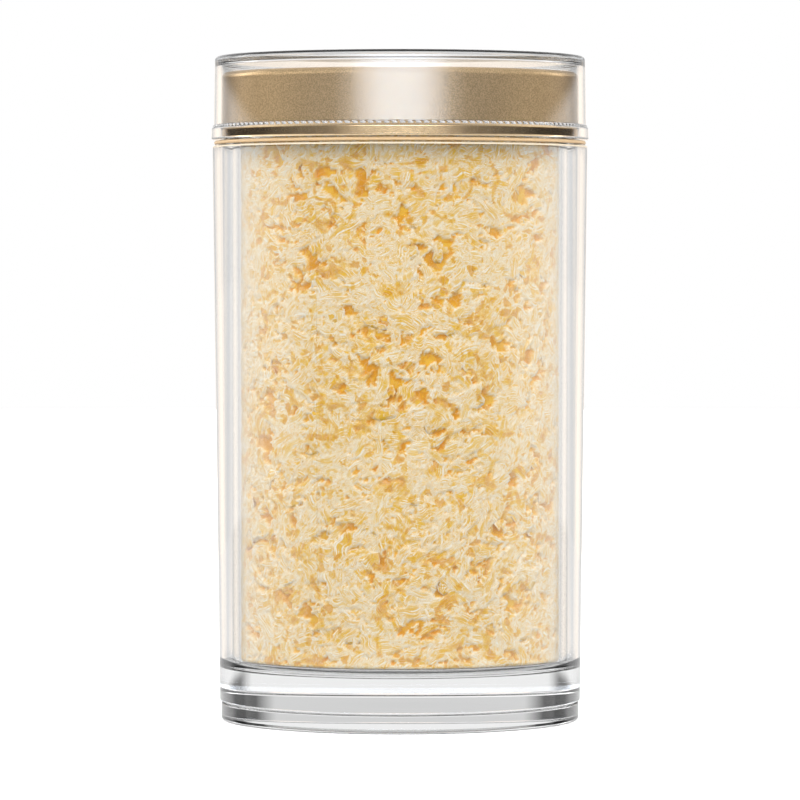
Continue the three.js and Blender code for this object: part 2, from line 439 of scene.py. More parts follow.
@dataclass(frozen=True)
class GrainedFinish(Finish):
    """A finish with a fine grain and faint marks of handling: metal, foam, or opaque acrylic whose colour is
    a painted reflection.

    contrast is the stretch of the grain over which the colour goes from low to high.
    """

    high: Colour
    low: Colour
    roughness: float
    roughness_spread: float
    grain_scale: float
    contrast: tuple[float, float]
    metallic: float = 0.0
    bump: float = 0.0
    bump_height: float = 0.0

    def surface(self, sketch: Shader) -> Node:
        """Colour, roughness and relief that follow the grain.

        Args:
            sketch: the material's shader.

        Returns:
            The shader node.
        """
        marks = sketch.node("Group", node_tree=handling_marks(), Grain_Scale=self.grain_scale,
                            Rough_Base=self.roughness, Rough_Spread=self.roughness_spread)
        grain = marks.outputs["Height"]
        colour = sketch.blend(sketch.fade(grain, *self.contrast), self.low, self.high)
        made = sketch.node("BsdfPrincipled", Base_Color=colour, Metallic=self.metallic,
                           Roughness=marks.outputs["Roughness"])
        if self.bump:
            relief = sketch.node("Bump", Strength=self.bump, Distance=self.bump_height, Height=grain)
            sketch.feed(made.inputs["Normal"], relief.outputs["Normal"])
        return made


@dataclass(frozen=True)
class DriedFungus(Finish):
    """Dried snow fungus: pale rims and creases, cream faces and golden pockets, and darker gold painted
    shade deep down.

    The meshes carry four marks at each point: rim, 1 along a sheet's edge; depth, in millimetres behind
    the tub's wall, and half a millimetre more just under the lid as painted shade there; tint, a random
    number for each sheet; and grain, the place along and across its fibres. The finish paints deeper places
    darker gold, partly the fungus's own golden tissue and partly painted shade.
    """

    name: str = "dried_fungus"
    rim: Colour = (0.94, 0.87, 0.74)
    face: Colour = (0.87, 0.62, 0.235)
    warm_face: Colour = (0.85, 0.50, 0.05)
    # Painted shade: hollow and pit are the darker golds of deep places, partly the fungus's own colour and
    # partly shade.
    hollow: Colour = (0.87, 0.51, 0.015)
    pit: Colour = (0.76, 0.34, 0.005)
    hollow_depth: float = 0.75
    pit_depth: float = 1.5
    cloud_scale: float = 230.0
    patch_scale: float = 150.0
    web_scale: float = 400.0
    web_drift: float = 0.0045
    crease_width: float = 0.08
    roughness: float = 0.62
    gloss: float = 0.3
    bump: float = 0.15
    bump_height: float = 0.2 * MM

    def surface(self, sketch: Shader) -> Node:
        """Colours by depth, streaks along the fibres, a web of creases and a low relief.

        Args:
            sketch: the material's shader.

        Returns:
            The shader node.
        """
        given = sketch.node("TexCoord").outputs["Object"]
        cloud = sketch.node("TexNoise", Vector=given, Scale=self.cloud_scale, Detail=3.0, Roughness=0.62,
                            Distortion=0.6)
        mottle = cloud.outputs["Fac"]
        streak = self.streaks(sketch)
        crease, pocket = self.web(sketch, sketch.blend(self.web_drift, given, cloud.outputs["Color"], "ADD"))
        gold = self.gold(sketch, given, mottle, pocket)
        colour = self.sheet_colour(sketch, mottle, gold, streak)
        colour = sketch.blend(self.edges(sketch, mottle, gold, crease), colour, self.rim)
        height = sketch.math("ADD", mottle, sketch.math("MULTIPLY_ADD", crease, 0.25, streak))
        height = sketch.math("SUBTRACT", height, sketch.math("MULTIPLY", pocket, 0.6))
        relief = sketch.node("Bump", Strength=self.bump, Distance=self.bump_height, Height=height)
        return sketch.node("BsdfPrincipled", Base_Color=colour, Roughness=self.roughness,
                           Specular_IOR_Level=self.gloss, Normal=relief.outputs["Normal"])

    def streaks(self, sketch: Shader) -> Socket:
        """Noise that is drawn out along each sheet's fibres."""
        grain = sketch.node("Attribute", attribute_name="grain").outputs["Vector"]
        return sketch.node("TexNoise", Vector=grain, Scale=1.0, Detail=2.0, Roughness=0.6).outputs["Fac"]

    def web(self, sketch: Shader, place: Socket) -> tuple[Socket, Socket]:
        """A net of fine creases, and the pockets between them.

        Args:
            sketch: the material's shader.
            place: where on the fungus, already bent out of line.

        Returns:
            A mask of the creases and a mask of about a third of the pockets.
        """
        net, cell = (
            sketch.node("TexVoronoi", feature=feature, Vector=place, Scale=self.web_scale).outputs[output]
            for feature, output in (("DISTANCE_TO_EDGE", "Distance"), ("F1", "Color"))
        )
        crease = sketch.fade(net, self.crease_width, 0.0)
        inside = sketch.fade(net, self.crease_width, 0.2)
        return crease, sketch.math("MULTIPLY", sketch.fade(cell, 0.66, 0.72), inside)

    def gold(self, sketch: Shader, given: Socket, mottle: Socket, pocket: Socket) -> Socket:
        """How golden and dark the fungus is: its depth behind the wall, which brings painted shade, with
        clouds, pockets and patches added.

        Args:
            sketch: the material's shader.
            given: where on the fungus.
            mottle: cloudy noise.
            pocket: the mask of the pockets.

        Returns:
            A depth in millimetres.
        """
        # The depth drives painted shade: deeper places are painted darker gold.
        depth = sketch.node("Attribute", attribute_name="depth").outputs["Fac"]
        cloudy = sketch.math("MULTIPLY", sketch.math("SUBTRACT", mottle, 0.5), 2.6)
        patch = sketch.node("TexNoise", Vector=given, Scale=self.patch_scale, Detail=4.0, Distortion=1.2)
        gold = sketch.math("ADD", sketch.math("ADD", depth, cloudy), sketch.math("MULTIPLY", pocket, 0.9))
        return sketch.math("ADD", gold, sketch.fade(patch.outputs["Fac"], 0.5, 0.72, -0.05, 1.1))

    def sheet_colour(self, sketch: Shader, mottle: Socket, gold: Socket, streak: Socket) -> Socket:
        """The colour of the sheets and of the hollows between them, with pale and golden fibres, and painted
        shade that darkens the deep places.

        Args:
            sketch: the material's shader.
            mottle: cloudy noise.
            gold: how golden the fungus is.
            streak: noise along the fibres.

        Returns:
            The colour.
        """
        tint = sketch.node("Attribute", attribute_name="tint").outputs["Fac"]
        warmth = sketch.math("MULTIPLY_ADD", tint, 0.6, sketch.math("MULTIPLY", mottle, 0.8))
        colour = sketch.blend(sketch.fade(warmth, 0.5, 0.95), self.face, self.warm_face)
        # Painted shade: the deeper, the darker gold, and the pale fibres fade out there.
        colour = sketch.blend(sketch.fade(gold, 0.15, self.hollow_depth, 0, 0.85), colour, self.hollow)
        colour = sketch.blend(sketch.fade(gold, self.hollow_depth, self.pit_depth), colour, self.pit)
        shown = sketch.fade(gold, 1.2, 0.3, 0.3, 1)
        fibre = sketch.math("MULTIPLY", sketch.fade(streak, 0.53, 0.6), shown)
        colour = sketch.blend(fibre, colour, self.rim)
        return sketch.blend(sketch.fade(streak, 0.46, 0.38, 0, 0.7), colour, self.hollow)

    def edges(self, sketch: Shader, mottle: Socket, gold: Socket, crease: Socket) -> Socket:
        """The mask of pale rims and creases, fainter where the fungus lies deep, so that the painted shade
        there stays dark.

        Args:
            sketch: the material's shader.
            mottle: cloudy noise.
            gold: how golden the fungus is.
            crease: the mask of the creases.

        Returns:
            The mask.
        """
        rim = sketch.node("Attribute", attribute_name="rim").outputs["Fac"]
        shown_crease = sketch.math("MULTIPLY", crease, sketch.fade(mottle, 0.42, 0.58, 0, 0.7))
        edge = sketch.math("MAXIMUM", sketch.math("MULTIPLY", rim, 0.85), shown_crease)
        return sketch.math("MULTIPLY", edge, sketch.fade(gold, 1.15, 0.3, 0.2, 1), clamp=True)


def painted_reflection_acrylic(place: str, high: Colour, low: Colour) -> GrainedFinish:
    """Opaque acrylic whose plain colour is a painted reflection of the light that a clear edge catches."""
    return GrainedFinish(f"painted_reflection_acrylic_{place}", high, low, 0.4, 0.3, 4000, (0.35, 0.65))


CLEAR = ClearAcrylic()
# Painted reflection: the clear grip teeth are pale grey for the white light they reflect, the tub's shoulder
# edge is golden for the gold and fungus seen in it, and the outer jar's rim is cream for its highlight.
TEETH_PAINTED_REFLECTION = painted_reflection_acrylic("teeth", (0.35, 0.345, 0.34), (0.26, 0.255, 0.25))
SHOULDER_PAINTED_REFLECTION = painted_reflection_acrylic("shoulder", (0.40, 0.28, 0.15), (0.33, 0.22, 0.12))
RIM_PAINTED_HIGHLIGHT = painted_reflection_acrylic("rim", (0.46, 0.39, 0.29), (0.38, 0.32, 0.23))
SATIN_GOLD = GrainedFinish(
    "satin_gold", high=(0.72, 0.515, 0.285), low=(0.50, 0.345, 0.18), roughness=0.27, roughness_spread=0.1,
    grain_scale=3300, contrast=(0.42, 0.58), metallic=1.0, bump=0.35, bump_height=0.05 * MM,
)
POLISHED_GOLD = GrainedFinish(
    "polished_gold", high=(0.90, 0.66, 0.38), low=(0.86, 0.62, 0.35), roughness=0.05, roughness_spread=0.04,
    grain_scale=700, contrast=(0.42, 0.58), metallic=1.0, bump=0.02, bump_height=0.05 * MM,
)
WHITE_FOAM = GrainedFinish(
    "white_foam", high=(0.86, 0.84, 0.8), low=(0.7, 0.68, 0.64), roughness=0.7, roughness_spread=0.3,
    grain_scale=2500, contrast=(0.4, 0.6), bump=0.5, bump_height=0.1 * MM,
)
FUNGUS = DriedFungus()


# Pieces of the jar and lid


@dataclass
class Piece:
    """What every piece has: its name, the CAD node it stands for, its body and its slot."""

    name: str
    node: str
    body: Body
    slot: Slot

    def span(self) -> tuple[float, float, float]:
        """The node's outer radius, lowest height and highest height."""
        low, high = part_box(self.node)
        return high[0], low[2], high[2]

    def dress(self, made: Object, material: Material) -> Object:
        """Gives an object its material and says what it rides on and stands for.

        Args:
            made: the new object.
            material: its finish.

        Returns:
            The same object.
        """
        made.data.materials.append(material)
        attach(made, self.body.value)
        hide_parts(self.node)
        log.info("%s: %d faces", made.name, len(made.data.polygons))
        return made


@dataclass
class TurnedPiece(Piece):
    """A piece that is turned round the jar's axis."""

    columns: int = 192

    def outline(self) -> list[Point]:
        """The outline as radius and height points, which each kind of piece draws from its sizes."""
        raise NotImplementedError

    def reach(self, angles: np.ndarray, radius: float, height: float) -> np.ndarray:
        """The radii of one ring of points, which a thread or teeth change.

        Args:
            angles: the ring's angles in radians.
            radius: its plain radius.
            height: its height.

        Returns:
            One radius for each angle.
        """
        return np.full(len(angles), radius)

    def band(self) -> tuple[float, float, float]:
        """Lowest height, highest height and smallest radius of the faces with a second finish."""
        raise NotImplementedError

    def build(self, material: Material, painted_reflection: Material | None = None) -> Object:
        """Makes the piece.

        Args:
            material: its finish.
            painted_reflection: the second finish of its band, an opaque painted reflection, if it has one.

        Returns:
            The piece.
        """
        made = self.dress(turned(self.name, self.outline(), self.columns, self.reach), material)
        # The band gets an opaque colour, painted as the reflection that its clear edge shows.
        if painted_reflection is not None:
            low, high, least = self.band()
            made.data.materials.append(painted_reflection)
            for face in made.data.polygons:
                x, y, height = face.center
                if low < height < high and math.hypot(x, y) > least:
                    face.material_index = 1
        return made


@dataclass
class BaseFoot(TurnedPiece):
    """The clear disc under the jar, with a rounded edge and a shallow recess underneath."""

    edge: float = 0.9 * MM
    top_edge: float = 0.25 * MM
    recess_radius: float = 44 * MM
    recess_depth: float = 1 * MM
    recess_slope: float = 0.6 * MM

    def outline(self) -> list[Point]:
        """The foot's outline.

        Returns:
            Radius and height points.
        """
        radius, bottom, top = self.span()
        return [
            (0, bottom + self.recess_depth),
            (self.recess_radius - self.recess_slope, bottom + self.recess_depth),
            (self.recess_radius, bottom),
            *lower_corner(radius, bottom, self.edge),
            *upper_corner(radius, top, self.top_edge, 3),
            (0, top),
        ]


@dataclass
class OuterJar(TurnedPiece):
    """The clear outer wall with its thick floor, a little narrower at the bottom, and a rim with a painted
    cream highlight.
    """

    base_radius: float = 47.9 * MM
    inner_radius: float = 46.85 * MM
    floor_thickness: float = 9.0 * MM
    edge: float = 0.5 * MM
    inner_edge: float = 0.25 * MM
    floor_corner: float = 2.6 * MM

    def band(self) -> tuple[float, float, float]:
        """The rim."""
        top = self.span()[2]
        return top - self.edge, top + self.edge, self.inner_radius

    def outline(self) -> list[Point]:
        """The outer jar's outline.

        Returns:
            Radius and height points.
        """
        radius, bottom, top = self.span()
        floor = bottom + self.floor_thickness
        return [
            (0, bottom),
            *lower_corner(self.base_radius, bottom, self.edge),
            *upper_corner(radius, top, self.edge),
            *arc((self.inner_radius + self.inner_edge, top - self.inner_edge), self.inner_edge, 90, 180, 3),
            *reversed(lower_corner(self.inner_radius, floor, self.floor_corner)),
            (0, floor),
        ]


@dataclass(frozen=True)
class Thread:
    """A right-handed screw ridge on a neck or in a cap, which fades out at both ends."""

    wall_radius: float
    start: float
    height: float
    turn: float
    lead: float = 4 * MM
    width: float = 1.0 * MM
    run_out: float = 20.0
    steepness: float = 1.6

    def ridge(self, angles: np.ndarray, radius: float, height: float) -> np.ndarray:
        """How far the ridge stands off its wall.

        Args:
            angles: a ring's angles in radians.
            radius: the ring's plain radius.
            height: the ring's height.

        Returns:
            One distance for each angle, all 0 where the ring isn't on the wall.
        """
        if abs(radius - self.wall_radius) > SAME_RADIUS:
            return np.zeros(len(angles))
        middle = self.start + self.lead * angles / TURN
        turned_by = np.degrees(angles)
        fade = np.clip(np.minimum(turned_by, self.turn - turned_by) / self.run_out, 0, 1)
        off = np.abs(height - middle) / self.width
        return self.height * fade * np.clip(self.steepness - self.steepness * off, 0, 1)


@dataclass
class InnerTub(TurnedPiece):
    """The thin clear tub, with a shoulder that rests on the outer jar and a threaded neck."""

    radius: float = 44.5 * MM
    wall: float = 1.8 * MM
    floor_thickness: float = 1.6 * MM
    corner: float = 2.6 * MM
    shoulder_height: float = 152.5 * MM
    shoulder_thickness: float = 1 * MM
    neck_radius: float = 44.1 * MM
    neck_rows: int = 70
    thread: Thread = Thread(wall_radius=44.1 * MM, start=157.6 * MM, height=1 * MM, turn=340.0)

    def reach(self, angles: np.ndarray, radius: float, height: float) -> np.ndarray:
        """The radii of one ring, with the thread standing out of the neck."""
        return radius + self.thread.ridge(angles, radius, height)

    def band(self) -> tuple[float, float, float]:
        """The shoulder's edge."""
        top = self.shoulder_height + self.shoulder_thickness
        return self.shoulder_height, top, self.span()[0] - self.shoulder_thickness / 2

    def outline(self) -> list[Point]:
        """The tub's outline.

        Returns:
            Radius and height points.
        """
        shoulder, bottom, top = self.span()
        inside = self.radius - self.wall
        floor = bottom + self.floor_thickness
        half = self.shoulder_thickness / 2
        neck_bottom = self.shoulder_height + self.shoulder_thickness
        return [
            (0, bottom),
            *lower_corner(self.radius, bottom, self.corner, 12),
            (self.radius, self.shoulder_height),
            *arc((shoulder - half, self.shoulder_height + half), half, -90, 90, 8),
            *[(self.neck_radius, h) for h in np.linspace(neck_bottom, top, self.neck_rows)],
            (inside, top),
            *reversed(lower_corner(inside, floor, self.corner - self.wall, 10)),
            (0, floor),
        ]


@dataclass
class LidShell(TurnedPiece):
    """The clear outer cap: flat top, thin wall, a flange at its foot and a row of fine grip teeth."""

    columns: int = 912
    teeth: int = 152
    radius: float = 49.3 * MM
    inner_radius: float = 47.65 * MM
    top_thickness: float = 2.1 * MM
    edge: float = 1.2 * MM
    inner_edge: float = 0.6 * MM
    flange_height: float = 3.2 * MM
    flange_edge: float = 0.4 * MM
    tooth_height: float = 0.7 * MM
    tooth_depth: float = 0.35 * MM
    tooth_lean: float = 0.35
    tooth_width: float = 0.5
    tooth_flank: float = 0.25
    tooth_face: float = 0.7
    crown_inset: float = 0.35
    crown_rise: float = 0.92
    # How far out on the teeth the painted reflection starts, as a share of their depth.
    painted_reflection_from: float = 0.4
    draft: float = 0.24 * MM
    flange_draft: float = 0.07 * MM
    inner_drafts: tuple[float, float] = (0.09 * MM, 0.31 * MM)

    def tooth_start(self) -> float:
        """The height of the flange's top, where the row of teeth begins."""
        return self.span()[1] + self.flange_height

    def reach(self, angles: np.ndarray, radius: float, height: float) -> np.ndarray:
        """The radii of one ring, cut back between the teeth.

        Args:
            angles: the ring's angles in radians.
            radius: its plain radius.
            height: its height.

        Returns:
            One radius for each angle.
        """
        risen = (height - self.tooth_start()) / self.tooth_height
        if not (-0.001 < risen < 0.999 and radius > self.radius):
            return super().reach(angles, radius, height)
        swing = np.abs(np.mod(angles * self.teeth / TURN + self.tooth_lean * risen, 1) - 0.5) * 2
        return radius - (radius - self.radius) * np.clip((swing - self.tooth_width) / self.tooth_flank, 0, 1)

    def band(self) -> tuple[float, float, float]:
        """The outer part of the teeth."""
        start = self.tooth_start()
        return start, start + self.tooth_height, self.radius + self.painted_reflection_from * self.tooth_depth

    def outline(self) -> list[Point]:
        """The clear cap's outline.

        Returns:
            Radius and height points.
        """
        flange, bottom, top = self.span()
        flange_top = self.tooth_start()
        ceiling = top - self.top_thickness
        crest = self.radius + self.tooth_depth
        return [
            (self.inner_radius, bottom),
            *lower_corner(flange, bottom, self.flange_edge, 4),
            *upper_corner(flange - self.flange_draft, flange_top, self.flange_edge, 4),
            (crest, flange_top),
            (crest, flange_top + self.tooth_face * self.tooth_height),
            (crest - self.crown_inset * self.tooth_depth, flange_top + self.crown_rise * self.tooth_height),
            (self.radius, flange_top + self.tooth_height),
            *upper_corner(self.radius - self.draft, top, self.edge, 8),
            (0, top),
            (0, ceiling),
            *reversed(upper_corner(self.inner_radius - self.inner_drafts[1], ceiling, self.inner_edge, 4)),
            (self.inner_radius - self.inner_drafts[0], flange_top),
        ]


@dataclass
class GoldCap(TurnedPiece):
    """The satin cap, stepped in at the bottom for the trim ring, with the screw thread inside."""

    step_height: float = 157.9 * MM
    step_radius: float = 46.35 * MM
    inner_radius: float = 45.5 * MM
    top_thickness: float = 1.7 * MM
    edge: float = 1.7 * MM
    thread: Thread = Thread(wall_radius=45.5 * MM, start=155.6 * MM, height=0.95 * MM, turn=260.0)
    thread_rows: int = 60

    def reach(self, angles: np.ndarray, radius: float, height: float) -> np.ndarray:
        """The radii of one ring, with the thread standing in from the inner wall."""
        return radius - self.thread.ridge(angles, radius, height)

    def outline(self) -> list[Point]:
        """The satin cap's outline.

        Returns:
            Radius and height points.
        """
        radius, bottom, top = self.span()
        ceiling = top - self.top_thickness
        return [
            (self.inner_radius, bottom),
            (self.step_radius, bottom),
            (self.step_radius, self.step_height),
            (radius, self.step_height),
            *upper_corner(radius, top, self.edge, 10),
            (0, top),
            (0, ceiling),
            *[(self.inner_radius, h) for h in np.linspace(ceiling, bottom, self.thread_rows)[:-1]],
        ]


@dataclass
class TrimRing(TurnedPiece):
    """The polished ring behind the clear flange."""

    thickness: float = 0.65 * MM
    bevel: float = 0.2 * MM
    lean: float = 0.11 * MM

    def outline(self) -> list[Point]:
        """The trim ring's outline.

        Returns:
            Radius and height points.
        """
        radius, bottom, top = self.span()
        return [
            (radius - self.thickness, bottom),
            *lower_corner(radius, bottom, self.bevel, 4),
            *upper_corner(radius - self.lean, top, self.bevel, 4),
            (radius - self.thickness, top),
        ]


@dataclass
class LidLiner(TurnedPiece):
    """The foam sealing disc between the neck and the cap."""

    edge: float = 0.3 * MM

    def outline(self) -> list[Point]:
        """The liner's outline.

        Returns:
            Radius and height points.
        """
        radius, bottom, top = self.span()
        return [
            (0, bottom),
            *lower_corner(radius, bottom, self.edge, 4),
            *upper_corner(radius, top, self.edge, 4),
            (0, top),
        ]


# The fungus


def waves(places: np.ndarray, seed: int, count: int, length: float) -> np.ndarray:
    """Smooth repeatable unevenness at places in space.

    Args:
        places: an array of positions, in metres.
        seed: for the random directions.
        count: how many waves are added up.
        length: the mean wave length, in metres.

    Returns:
        Numbers of about -1 to 1, one for each place.
    """
    rng = np.random.default_rng(seed)
    total = np.zeros(places.shape[:-1])
    for _ in range(count):
        way = rng.normal(size=3)
        way *= TURN / (length * rng.uniform(0.6, 1.6) * np.linalg.norm(way))
        total += np.sin(places @ way + rng.uniform(0, TURN))
    return total / math.sqrt(count)


@dataclass(frozen=True)
class SheetForm:
    """How the heap's sheets are cut and creased.

    Pairs are the least and the most, but lean is a mean and a spread. level, bow, lip, fold_pitch and
    fold_height are in millimetres. ragged is the size of each wave of the edge and its turns.
    """

    half_width: tuple[float, float] = (1.8 * MM, 5.2 * MM)
    half_height: tuple[float, float] = (0.9 * MM, 2.5 * MM)
    reach: float = 1.4
    lean: tuple[float, float] = (0.1, 0.8)
    ragged: tuple[tuple[float, int], ...] = ((0.16, 2), (0.15, 3), (0.1, 5), (0.07, 9), (0.05, 16))
    most_holes: int = 4
    hole_size: tuple[float, float] = (0.3 * MM, 0.9 * MM)
    hole_place: tuple[float, float] = (0.7, 0.6)
    hole_flatness: float = 1.5
    level: tuple[float, float] = (0.05, 0.7)
    slopes: tuple[float, float] = (0.03, 0.05)
    bow: tuple[float, float] = (-0.1, 0.2)
    fold_pitch: tuple[float, float] = (1.1, 2.4)
    fold_height: tuple[float, float] = (0.01, 0.04)
    sway_pitch: tuple[float, float] = (4 * MM, 9 * MM)
    sway: tuple[float, float] = (0.15, 0.5)
    lip: tuple[float, float] = (0.02, 0.07)
    lip_reach: float = 0.5 * MM
    rim_reach: float = 0.32 * MM
    grain_length: float = 4.8 * MM
    grain_width: float = 0.34 * MM
    grain_sway: float = 3

    def cut(
        self, rng: np.random.Generator, x: np.ndarray, y: np.ndarray, half: np.ndarray
    ) -> dict[str, np.ndarray]:
        """One ragged sheet with a few holes, folds along its grain, and a lip round its rim.

        Args:
            rng: the source of random numbers.
            x: distances round the heap from its middle.
            y: distances up from its middle.
            half: half of its width and height.

        Returns:
            Its level at each place, far down where it doesn't reach, how near its rim is, and the place
            along and across its grain.
        """
        lean = rng.normal(*self.lean)
        a = x * math.cos(lean) + y * math.sin(lean)
        b = y * math.cos(lean) - x * math.sin(lean)
        angle = np.arctan2(b / half[1], a / half[0])
        ragged = 1 + sum(size * np.sin(turns * angle + rng.uniform(0, TURN)) for size, turns in self.ragged)
        spare = (ragged - np.hypot(a / half[0], b / half[1])) * half[1]
        limit = np.array(self.hole_place)
        for _ in range(rng.integers(0, self.most_holes + 1)):
            size = rng.uniform(*self.hole_size)
            hole = rng.uniform(-limit, limit) * half
            spare = np.minimum(spare, np.hypot(a - hole[0], self.hole_flatness * (b - hole[1])) - size)
        pitch = rng.uniform(*self.fold_pitch) * MM
        sway = np.sin(TURN * a / rng.uniform(*self.sway_pitch) + rng.uniform(0, TURN))
        sway *= rng.uniform(*self.sway)
        folds = np.sin(TURN * (b / pitch + sway) + rng.uniform(0, TURN))
        within = np.clip(spare, 0, None)
        lip = rng.uniform(*self.lip) * MM * np.exp(-within / self.lip_reach)
        level = (
            (self.level[0] - self.level[1] * rng.uniform()) * MM
            + rng.normal(0, self.slopes[0]) * a
            + rng.normal(0, self.slopes[1]) * b
            - rng.uniform(*self.bow) * MM * (a / half[0]) ** 2
            + rng.uniform(*self.fold_height) * MM * folds
            + lip
        )
        fibres = (a / self.grain_length, b / self.grain_width + self.grain_sway * sway, np.zeros_like(a))
        return {
            "level": np.where(spare > 0, level, -1.0),
            "rim": np.exp(-within / self.rim_reach),
            "grain": np.stack(fibres, axis=-1),
        }


@dataclass
class FungusFill(Piece):
    """The crumbled fungus: a heap of layered crumpled sheets, and loose flakes pressed on the tub's wall.

    The loose flakes sit in rows and columns round the side. spin, in their plane, and tilt, out of the
    wall, are a mean and a spread in radians; width and length are the least and the most.
    """

    seed: int = 11
    wall: float = 42.35 * MM
    corner: float = 0.9 * MM
    top_corner: float = 3.0 * MM
    floor_gap: float = 0.1 * MM
    press: float = 0.25 * MM
    heap_columns: int = 636
    heap_rows: int = 340
    top_rings: int = 34
    floor_rings: int = 10
    sectors: int = 3
    layers: int = 8000
    form: SheetForm = SheetForm()
    deepest: float = 1.2 * MM
    # Painted shade under the lid: the top millimetres of the heap get more depth, so the finish paints them
    # darker gold.
    lid_shade_reach: float = 5 * MM
    lid_shade_depth: float = 0.5
    calm_depth: float = 0.5 * MM
    calm: float = 0.15
    overhang: float = 0.02
    grain_shift: float = 100
    ripples: tuple[tuple[int, float, float], ...] = ((1, 0.025 * MM, 1.5 * MM), (0, 0.05 * MM, 3.5 * MM))
    ripple_waves: int = 20
    least_radius: float = 0.3 * MM
    side_columns: int = 26
    side_rows: int = 15
    lowest_seat: float = 0.6 * MM
    unseated: float = 2.5 * MM
    spin: tuple[float, float] = (0.3, 0.6)
    tilt: tuple[float, float] = (1.5, 0.1)
    across: int = 11
    places_along: tuple[float, ...] = (0, 0.4, 0.78, 0.94, 1)
    pieces: int = 2
    width: tuple[float, float] = (2.5 * MM, 7 * MM)
    length: tuple[float, float] = (2.0 * MM, 4.5 * MM)
    thickness: float = 0.2 * MM
    rim_thickness: float = 0.1 * MM
    marks: tuple[str, ...] = ("rim", "depth", "tint", "grain")

    def wall_at(self, height: np.ndarray) -> np.ndarray:
        """How far the fungus may reach, inside the tub's rounded corner.

        Args:
            height: an array of heights.

        Returns:
            A radius for each height.
        """
        low = self.span()[1]
        short = np.clip(self.corner - (height - low), 0, self.corner)
        return self.wall - self.corner + np.sqrt(np.maximum(self.corner**2 - short**2, 0))

    def confine(self, places: np.ndarray, margin: np.ndarray | float) -> np.ndarray:
        """Presses places softly inside the tub and under the top of the heap.

        Args:
            places: an array of positions.
            margin: how far they stay inside the limit.

        Returns:
            The positions, pressed.
        """
        _, low, high = self.span()
        out = places.copy()
        out[..., 2] = np.clip(out[..., 2], low + self.floor_gap + margin, high - margin)
        radius = np.hypot(out[..., 0], out[..., 1])
        limit = self.wall_at(out[..., 2]) - margin
        spare = (limit - radius) / self.press
        pressed = limit - self.press * np.logaddexp(0, spare)
        pressed = np.where(spare > 20, radius, pressed)
        scale = np.clip(pressed, 0, None) / np.maximum(radius, 1e-9)
        out[..., 0] *= scale
        out[..., 1] *= scale
        return out

    def mark(self, made: Object, values: dict[str, np.ndarray]) -> None:
        """Writes the colour marks onto a mesh's points.

        Args:
            made: the mesh object.
            values: each mark's value at each point.
        """
        for name in self.marks:
            flat = values[name].reshape(len(made.data.vertices), -1).astype(np.float32)
            kind, key = ("FLOAT_VECTOR", "vector") if flat.shape[1] == 3 else ("FLOAT", "value")
            made.data.attributes.new(name, kind, "POINT").data.foreach_set(key, flat.ravel())

    def profile(self) -> tuple[np.ndarray, np.ndarray, np.ndarray]:
        """The heap's outline from the middle of its floor, up its side, to the middle of its top.

        Returns:
            Radius and height points, the way in from each, and each one's share of the layers' depth.
        """
        _, low, high = self.span()
        rim = self.wall - self.corner
        rows: list[tuple[float, float, float, float, float]] = []
        # Each row is radius, height, way in by radius and height, and share. First the floor and its corner,
        # then the side.
        for radius in np.linspace(0, rim, self.floor_rings + 1)[1:]:
            rows.append((radius, low + self.floor_gap, 0, 1, 0))
        for radius, height in arc((rim, low + self.floor_gap + self.corner), self.corner, -60, -30, 1):
            rows.append((radius, height, -0.7, 0.7, 0.2))
        start = low + self.floor_gap + self.corner
        for height in np.linspace(start, high - self.top_corner, self.heap_rows):
            rows.append((self.wall, height, -1, 0, min(1, 0.3 + (height - low) / (2 * MM))))
        # The rounded edge of the top, and the top.
        edge = self.wall - self.top_corner
        for angle in np.radians(np.linspace(0, 90, 10)[1:]):
            out, up = math.cos(angle), math.sin(angle)
            rows.append((edge + self.top_corner * out, high + self.top_corner * (up - 1), -out, -up, 1))
        for radius in np.linspace(edge, 0, self.top_rings + 1)[1:-1]:
            rows.append((radius, high, 0, -1, 1))
        table = np.array(rows)
        return table[:, :2], table[:, 2:4], table[:, 4]

    def layered(self, along: np.ndarray) -> dict[str, np.ndarray]:
        """Lays ragged, crumpled sheets over each other and keeps what shows.

        Args:
            along: each row's distance along the outline.

        Returns:
            For each row and column, the level of the topmost sheet, how near its rim is, its tint, and the
            place along and across its grain.
        """
        rng = np.random.default_rng(self.seed)
        step = TURN * self.wall / self.heap_columns
        shape = (len(along), self.heap_columns)
        shown = {
            "level": np.full(shape, -self.deepest),
            "rim": np.zeros(shape),
            "tint": np.full(shape, 0.5),
            "grain": np.zeros((*shape, 3)),
        }
        start = -self.overhang * along[-1]
        for _ in range(self.layers):
            middle = np.array((rng.uniform(0, step * self.heap_columns), rng.uniform(start, along[-1])))
            half = np.array((rng.uniform(*self.form.half_width), rng.uniform(*self.form.half_height)))
            reach = self.form.reach * half.max()
            first, last = np.searchsorted(along, (middle[1] - reach, middle[1] + reach))
            near = np.arange(int((middle[0] - reach) / step), int((middle[0] + reach) / step) + 2)
            x, y = near[None, :] * step - middle[0], along[first:last, None] - middle[1]
            found = self.form.cut(rng, x, y, half)
            columns = near % self.heap_columns
            window = np.ix_(np.arange(first, last), columns)
            found["tint"] = np.full(found["level"].shape, rng.uniform())
            found["grain"][..., 2] = self.grain_shift * rng.uniform()
            shows = found["level"] > shown["level"][window]
            for name, value in shown.items():
                mask = shows if value.ndim == 2 else shows[..., None]
                value[window] = np.where(mask, found[name], value[window])
        return shown

